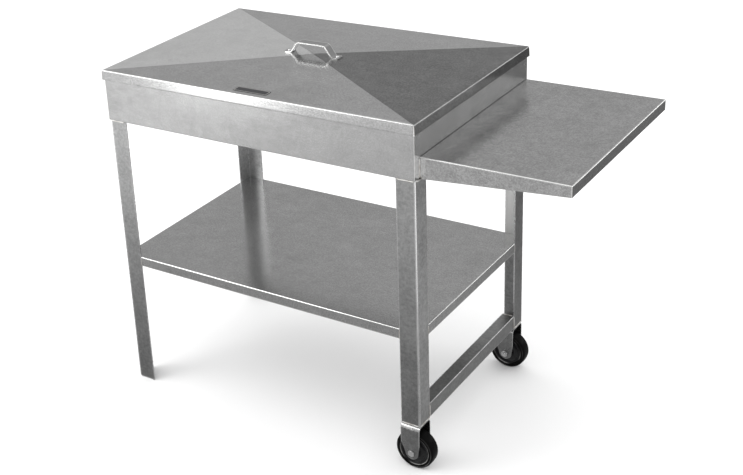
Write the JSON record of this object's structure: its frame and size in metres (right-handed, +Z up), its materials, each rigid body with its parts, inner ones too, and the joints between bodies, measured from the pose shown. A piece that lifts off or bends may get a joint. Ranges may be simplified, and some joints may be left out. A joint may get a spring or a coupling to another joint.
{
  "type": "lidded fire trolley",
  "caption": "Sheet steel fire box with a lift-off hipped lid on angle legs, with a tray shelf, a side shelf and wheels under one end.",
  "frame": {"origin": "on the ground, middle of the whole object's footprint, side shelf included", "axes": "+X along the trolley towards the wheels and the side shelf, +Y to the back, +Z up"},
  "size_m": [1.2568, 0.605, 0.959],
  "materials": {
    "lid_steel": "cold-rolled stainless sheet, satin",
    "box_steel": "cold-rolled stainless sheet, satin",
    "shelf_steel": "galvanised sheet, satin",
    "leg_steel": "galvanised rolled angle, satin",
    "bright_steel": "polished stainless",
    "fork_steel": "zinc plated pressing",
    "zinc_fasteners": "bright zinc plate",
    "fire_steel": "heat-darkened mild steel",
    "grid_steel": "seasoned steel rod",
    "tyre_rubber": "solid black rubber",
    "core_black": "moulded black core",
    "bearing_bronze": "plain bronze",
    "plate_blank": "plain blank plate, anodised"
  },
  "bodies": {
    "trolley": {"fire_box_front_wall": "box_steel", "fire_box_back_wall": "box_steel", "fire_box_left_wall": "box_steel", "fire_box_right_wall": "box_steel", "fire_box_floor": "fire_steel", "grid_ledge_front": "fire_steel", "grid_ledge_back": "fire_steel", "leg_front_left": "leg_steel", "leg_back_left": "leg_steel", "leg_front_right": "leg_steel", "leg_back_right": "leg_steel", "lower_shelf": "shelf_steel", "wheel_end_rung": "leg_steel", "side_shelf": "shelf_steel", "caster_pad_front": "fork_steel", "caster_fork_front": "fork_steel", "caster_bolts_front": "zinc_fasteners", "axle_sleeve_front": "zinc_fasteners", "hub_washers_front": "zinc_fasteners", "axle_bolt_front": "zinc_fasteners", "axle_nut_front": "zinc_fasteners", "caster_pad_back": "fork_steel", "caster_fork_back": "fork_steel", "caster_bolts_back": "zinc_fasteners", "axle_sleeve_back": "zinc_fasteners", "hub_washers_back": "zinc_fasteners", "axle_bolt_back": "zinc_fasteners", "axle_nut_back": "zinc_fasteners"},
    "lid": {"lid_panel": "lid_steel", "lid_handle": "bright_steel", "lid_handle_rivets": "bright_steel", "blank_plate": "plate_blank"},
    "grid_left": {"cooking_grid_left": "grid_steel"},
    "grid_right": {"cooking_grid_right": "grid_steel"},
    "pan_left": {"coal_pan_left": "fire_steel"},
    "pan_right": {"coal_pan_right": "fire_steel"},
    "wheel_front": {"wheel_tyre_front": "tyre_rubber", "wheel_core_front": "core_black", "wheel_bearing_front": "bearing_bronze"},
    "wheel_back": {"wheel_tyre_back": "tyre_rubber", "wheel_core_back": "core_black", "wheel_bearing_back": "bearing_bronze"}
  },
  "joints": [
    {"name": "lid_lift", "type": "slide", "parent": "trolley", "child": "lid", "axis": [0, 0, 1], "range_m": [0, 0.3]},
    {"name": "grid_left_lift", "type": "slide", "parent": "trolley", "child": "grid_left", "axis": [0, 0, 1], "range_m": [0, 0.18]},
    {"name": "grid_right_lift", "type": "slide", "parent": "trolley", "child": "grid_right", "axis": [0, 0, 1], "range_m": [0, 0.18]},
    {"name": "pan_left_lift", "type": "slide", "parent": "trolley", "child": "pan_left", "axis": [0, 0, 1], "range_m": [0, 0.075]},
    {"name": "pan_right_lift", "type": "slide", "parent": "trolley", "child": "pan_right", "axis": [0, 0, 1], "range_m": [0, 0.075]},
    {"name": "wheel_front_spin", "type": "hinge", "parent": "trolley", "child": "wheel_front", "pos_m": [0.2499, -0.269, 0.051], "axis": [0, 1, 0], "continuous": true},
    {"name": "wheel_back_spin", "type": "hinge", "parent": "trolley", "child": "wheel_back", "pos_m": [0.2499, 0.2635, 0.051], "axis": [0, 1, 0], "continuous": true}
  ],
  "couplings": [
    {"joint": "grid_left_lift", "follows": "lid_lift", "ratio": 0.6},
    {"joint": "grid_right_lift", "follows": "lid_lift", "ratio": 0.6},
    {"joint": "pan_left_lift", "follows": "lid_lift", "ratio": 0.25},
    {"joint": "pan_right_lift", "follows": "lid_lift", "ratio": 0.25}
  ]
}
